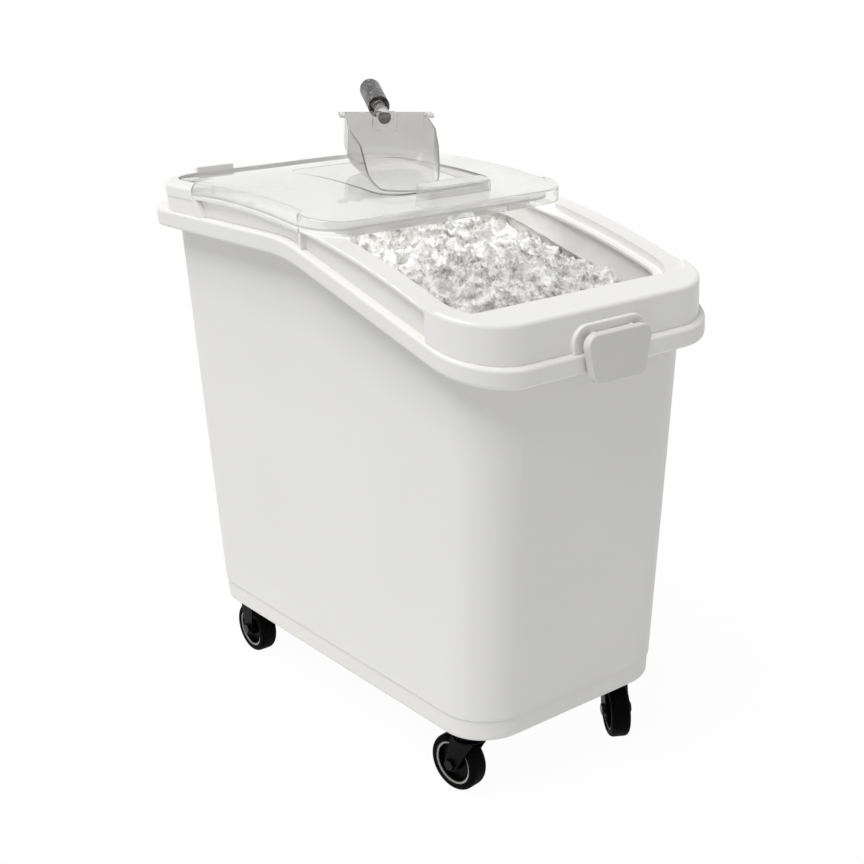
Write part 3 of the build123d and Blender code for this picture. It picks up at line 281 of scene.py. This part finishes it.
tub_white = solid_material("tub_white_poly", (0.795, 0.79, 0.765), (0.825, 0.82, 0.80), 0.45, mottle=4.0,
                           grain=700.0)
frame_white = solid_material("frame_white_poly", (0.82, 0.815, 0.80), (0.85, 0.845, 0.83), 0.34,
                             mottle=5.0, grain_strength=0.05)
latch_white = solid_material("latch_white_poly", (0.66, 0.655, 0.63), (0.69, 0.685, 0.66), 0.38,
                             mottle=12.0, grain_strength=0.05)
stop_white = solid_material("stop_white_poly", (0.92, 0.915, 0.905), (0.95, 0.945, 0.935), 0.34,
                            mottle=12.0, grain_strength=0.05)
lid_clear = clear_material("lid_clear_poly", (0.87, 0.87, 0.86), 0.06, 0.20)
# The scoop's darker upper colour is painted shade, not a tint of its plastic
scoop_clear = clear_material("scoop_clear_poly_painted_shade", (0.93, 0.93, 0.915), 0.05, 0.12,
                             drift_and_painted_shade_tint=(0.60, 0.595, 0.58))
handle_grey = speckled_material("handle_speckled", (0.004, 0.004, 0.004), (0.26, 0.25, 0.24), 0.30)
tyre_black = solid_material("tyre_rubber", (0.0012, 0.0012, 0.0013), (0.0022, 0.0022, 0.0023), 0.60,
                            mottle=30.0, grain=500.0, grain_strength=0.2, shine=0.03)
hub_black = solid_material("hub_nylon", (0.002, 0.002, 0.002), (0.0035, 0.0035, 0.0035), 0.45, mottle=30.0,
                           shine=0.06)
ring_grey = solid_material("ring_satin", (0.30, 0.29, 0.28), (0.42, 0.41, 0.39), 0.3,
                           mottle=40.0, coat=0.2)
bracket_black = solid_material("bracket_coated", (0.0015, 0.0015, 0.0015), (0.0035, 0.0035, 0.0035), 0.45,
                               mottle=25.0, grain=1400.0, grain_strength=0.2, shine=0.06)
axle_black = solid_material("axle_black_oxide", (0.012, 0.012, 0.012), (0.025, 0.025, 0.025), 0.35,
                            mottle=60.0, metal=1.0)
plain_steel = solid_material("steel_plated", (0.50, 0.50, 0.50), (0.62, 0.62, 0.61), 0.33,
                             mottle=60.0, metal=1.0)

dress("tub", tub_white)
dress("lid_frame", frame_white)
dress("rear_stop", stop_white)
dress("front_latch", latch_white)
dress("latch_pin", plain_steel)
dress("rear_lid", lid_clear)
dress("front_lid", lid_clear)
dress("scoop_bowl", scoop_clear)
dress("scoop_handle", handle_grey)
dress("scoop_rivets", plain_steel)
dress("caster_screws", plain_steel)
for corner in ("front_left", "front_right", "rear_left", "rear_right"):
    dress(corner + "_tyre", tyre_black)
    dress(corner + "_wheel_hub", hub_black)
    dress(corner + "_rim_rings", ring_grey)
    dress(corner + "_axle", axle_black)
    dress(corner + "_axle_nut", axle_black)
    if corner.startswith("front"):
        dress(corner + "_caster_plate", bracket_black)
        dress(corner + "_bearing_race", bracket_black)
        dress(corner + "_kingpin", axle_black)
        dress(corner + "_fork", bracket_black)
    else:
        dress(corner + "_bracket", bracket_black)


def plateau_z(y):
    """Height of the front lid's plateau along the bin."""
    return PLATEAU_AXIS_Z + (PLATEAU_RADIUS ** 2 - (y - PLATEAU_AXIS_Y) ** 2) ** 0.5


def well_edge_shade_line():
    """Points round the front half of the well's edge, from its left side to its right side."""
    left = WELL_MIDDLE_X - WELL_HALF_WIDTH
    right = WELL_MIDDLE_X + WELL_HALF_WIDTH
    side_y = WELL_FRONT_Y + WELL_CORNER
    run = [WELL_FADE_Y + (side_y - WELL_FADE_Y) * i / CORNER_STEPS for i in range(CORNER_STEPS)]
    turn = [radians(90.0) * i / CORNER_STEPS for i in range(CORNER_STEPS + 1)]
    points = [(left, y) for y in run]
    points += [(left + WELL_CORNER * (1 - cos(a)), side_y - WELL_CORNER * sin(a)) for a in turn]
    points += [(right - WELL_CORNER * (1 - cos(a)), side_y - WELL_CORNER * sin(a)) for a in reversed(turn)]
    points += [(right, y) for y in reversed(run)]
    return [Vector((x, y, plateau_z(y))) for x, y in points]


def make_bead(name, points, body, material):
    """Fine raised line along a row of points, thinner towards both ends."""
    made = bmesh.new()
    rings = []
    last = len(points) - 1
    for i, point in enumerate(points):
        ahead = (points[min(i + 1, last)] - points[max(i - 1, 0)]).normalized()
        side = ahead.cross(Vector((0.0, 0.0, 1.0))).normalized()
        up = side.cross(ahead)
        taper = min(1.0, BEAD_TAPER * i / last, BEAD_TAPER * (last - i) / last)
        radius = BEAD_RADIUS * max(BEAD_END_SHARE, taper)
        angles = [radians(360.0) * k / BEAD_SIDES for k in range(BEAD_SIDES)]
        rings.append([made.verts.new(point + radius * (side * cos(a) + up * sin(a))) for a in angles])
    for first, second in zip(rings, rings[1:]):
        for k in range(BEAD_SIDES):
            after = (k + 1) % BEAD_SIDES
            made.faces.new((first[k], first[after], second[after], second[k])).smooth = True
    made.faces.new(rings[0][::-1])
    made.faces.new(rings[-1])
    bmesh.ops.recalc_face_normals(made, faces=made.faces)
    mesh = bpy.data.meshes.new(name)
    made.to_mesh(mesh)
    made.free()
    bead = bpy.data.objects.new(name, mesh)
    bpy.context.scene.collection.objects.link(bead)
    mesh.materials.append(material)
    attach(bead, body)


def flour_level(y):
    """Mean height of the flour along the bin: level behind, falling parallel to the mouth in front."""
    if y > FLOUR_SLOPE_START_Y:
        return FLOUR_REAR_Z
    share = (FLOUR_SLOPE_START_Y - y) / (FLOUR_SLOPE_START_Y - FLOUR_FRONT_Y)
    return FLOUR_REAR_Z + (FLOUR_FRONT_Z - FLOUR_REAR_Z) * share ** FLOUR_SLOPE_POWER


def inside_tub(x, y):
    """Whether a place lies inside the tub's rounded plan."""
    centre_y = min(max(y, FLOUR_FRONT_Y + FLOUR_CORNER), FLOUR_REAR_Y - FLOUR_CORNER)
    centre_x = min(max(x, -FLOUR_HALF_WIDTH + FLOUR_CORNER), FLOUR_HALF_WIDTH - FLOUR_CORNER)
    return hypot(x - centre_x, y - centre_y) <= FLOUR_CORNER


def flour_height(x, y):
    """Height of the lumpy flour at one place."""
    place = Vector((x, y, 0.0))
    warp_x = noise.noise(place * WARP_SCALE)
    warp_y = noise.noise(place * WARP_SCALE + WARP_SHIFT)
    warped = place + Vector((warp_x, warp_y, 0.0)) * WARP_SIZE
    heap = HEAP_HEIGHT * noise.noise(place * HEAP_SCALE)
    lumps = LUMP_HEIGHT * noise.noise(warped * LUMP_SCALE)
    clumps = CLUMP_HEIGHT * noise.fractal(warped * CLUMP_SCALE, CLUMP_FALL, CLUMP_STEP, CLUMP_OCTAVES)
    crown = CROWN_HEIGHT * exp(-((x / CROWN_HALF_WIDTH) ** 2))
    return flour_level(y) + crown + heap + lumps + clumps


def flour_material():
    """Matt powder with painted shade in random soft grey patches, standing for the shadows in its hollows,
    and fine crumbs.
    """
    material = new_material("flour_powder_painted_shade")
    tree = material.node_tree
    shader = tree.nodes.new("ShaderNodeBsdfPrincipled")
    shader.inputs["Roughness"].default_value = POWDER_ROUGHNESS
    shader.inputs["Specular IOR Level"].default_value = DULL_SHINE
    # Painted shade: random grey patches darken the flour's colour
    painted_shade_patches = noise_map(tree, SHADE_PATCH_SCALE, 9.0, 0.0, 1.0, spread=SHADE_PATCH_SPREAD, rough=SHADE_PATCH_ROUGH,
                        middle=SHADE_PATCH_MIDDLE)
    tree.links.new(mixed_colour(tree, painted_shade_patches, POWDER_PAINTED_SHADE, POWDER_LIGHT), shader.inputs["Base Color"])
    crumbs = noise_map(tree, CRUMB_SCALE, 8.0, 0.0, 1.0, spread=CRUMB_SPREAD, rough=CRUMB_ROUGH)
    tree.links.new(bump(tree, crumbs, CRUMB_STRENGTH, CRUMB_DEPTH), shader.inputs["Normal"])
    link_output(tree, shader.outputs["BSDF"])
    return material


def make_flour():
    """Heap of flour that fills the tub, as a stage piece."""
    made = bmesh.new()
    count_x = int(2 * FLOUR_HALF_WIDTH / FLOUR_STEP) + 1
    count_y = int((FLOUR_REAR_Y - FLOUR_FRONT_Y) / FLOUR_STEP) + 1
    grid = {}
    for i in range(count_x):
        for j in range(count_y):
            x = -FLOUR_HALF_WIDTH + i * FLOUR_STEP
            y = FLOUR_FRONT_Y + j * FLOUR_STEP
            if inside_tub(x, y):
                grid[i, j] = made.verts.new((x, y, flour_height(x, y)))
    for i, j in grid:
        corners = [grid.get(key) for key in ((i, j), (i + 1, j), (i + 1, j + 1), (i, j + 1))]
        if None not in corners:
            made.faces.new(corners).smooth = True
    edges = [edge for edge in made.edges if edge.is_boundary]
    skirt = bmesh.ops.extrude_edge_only(made, edges=edges)["geom"]
    for vert in skirt:
        if isinstance(vert, bmesh.types.BMVert):
            vert.co.z -= FLOUR_DEPTH
    mesh = bpy.data.meshes.new("flour")
    made.to_mesh(mesh)
    made.free()
    flour = bpy.data.objects.new("flour", mesh)
    bpy.context.scene.collection.objects.link(flour)
    flour.data.materials.append(flour_material())


def white_seen(tree):
    """Factor that is 1 for what the camera sees directly, in gloss or through clear plastic."""
    path = tree.nodes.new("ShaderNodeLightPath")
    first = tree.nodes.new("ShaderNodeMath")
    first.operation = "MAXIMUM"
    second = tree.nodes.new("ShaderNodeMath")
    second.operation = "MAXIMUM"
    tree.links.new(path.outputs["Is Camera Ray"], first.inputs[0])
    tree.links.new(path.outputs["Is Glossy Ray"], first.inputs[1])
    tree.links.new(first.outputs["Value"], second.inputs[0])
    tree.links.new(path.outputs["Is Transmission Ray"], second.inputs[1])
    return second.outputs["Value"]


def make_floor():
    """Plain pale floor that keeps a faint shadow."""
    half = FLOOR_SIZE / 2
    mesh = bpy.data.meshes.new("floor")
    corners = [(-half, -half, 0), (half, -half, 0), (half, half, 0), (-half, half, 0)]
    mesh.from_pydata(corners, [], [(0, 1, 2, 3)])
    floor = bpy.data.objects.new("floor", mesh)
    bpy.context.scene.collection.objects.link(floor)
    material = new_material("floor_white")
    tree = material.node_tree
    plain = node(tree, "ShaderNodeBsdfDiffuse", Color=FLOOR_COLOUR)
    glow = node(tree, "ShaderNodeEmission", Color=WHITE, Strength=1.0)
    share = tree.nodes.new("ShaderNodeMath")
    share.operation = "MULTIPLY"
    share.inputs[1].default_value = FLOOR_WHITE_SHARE
    tree.links.new(white_seen(tree), share.inputs[0])
    seen = share.outputs["Value"]
    link_output(tree, mix_surfaces(tree, seen, plain.outputs["BSDF"], glow.outputs["Emission"]))
    floor.data.materials.append(material)


def make_light():
    """Even pale world, white where it is seen, and one broad soft lamp from above and the left."""
    world = bpy.data.worlds.new("studio")
    bpy.context.scene.world = world
    world.use_nodes = True
    tree = world.node_tree
    tree.nodes.clear()
    level = node(tree, "ShaderNodeMapRange", To_Min=WORLD_STRENGTH, To_Max=1.0)
    tree.links.new(white_seen(tree), level.inputs["Value"])
    sky = node(tree, "ShaderNodeBackground", Color=WHITE)
    tree.links.new(level.outputs["Result"], sky.inputs["Strength"])
    link_output(tree, sky.outputs["Background"], kind="ShaderNodeOutputWorld")
    lamp = bpy.data.lights.new("key", "SUN")
    lamp.energy = SUN_STRENGTH
    lamp.angle = SUN_ANGLE
    key = bpy.data.objects.new("key", lamp)
    key.rotation_euler = SUN_FROM.to_track_quat("Z", "Y").to_euler()
    bpy.context.scene.collection.objects.link(key)


def make_camera():
    """Camera fitted to the photograph."""
    level = cos(CAMERA_PITCH)
    forward = Vector((sin(CAMERA_YAW) * level, cos(CAMERA_YAW) * level, -sin(CAMERA_PITCH)))
    right = Vector((cos(CAMERA_YAW), -sin(CAMERA_YAW), 0.0))
    down = forward.cross(right)
    axis_x = right * cos(CAMERA_ROLL) - down * sin(CAMERA_ROLL)
    axis_y = -(right * sin(CAMERA_ROLL) + down * cos(CAMERA_ROLL))
    turn = Matrix((axis_x, axis_y, -forward)).transposed().to_4x4()
    lens = bpy.data.cameras.new("camera")
    lens.sensor_width = SENSOR_MM
    lens.lens = CAMERA_LENS_MM
    lens.shift_x = CAMERA_SHIFT_X
    lens.shift_y = CAMERA_SHIFT_Y
    lens.clip_end = CAMERA_REACH
    camera = bpy.data.objects.new("camera", lens)
    camera.matrix_world = Matrix.Translation(CAMERA_PLACE) @ turn
    bpy.context.scene.collection.objects.link(camera)
    bpy.context.scene.camera = camera


# Painted shade: the dark grey line drawn along the well's real moulded edge stands for the shade there
painted_shade_grey = solid_material("lid_well_painted_shade", (0.05, 0.05, 0.05), (0.11, 0.11, 0.105), 0.25, mottle=30.0)
make_bead("well_edge_shade_line", well_edge_shade_line(), "front_lid", painted_shade_grey)
make_flour()
make_floor()
make_light()
make_camera()
bpy.context.scene.view_settings.view_transform = "Standard"
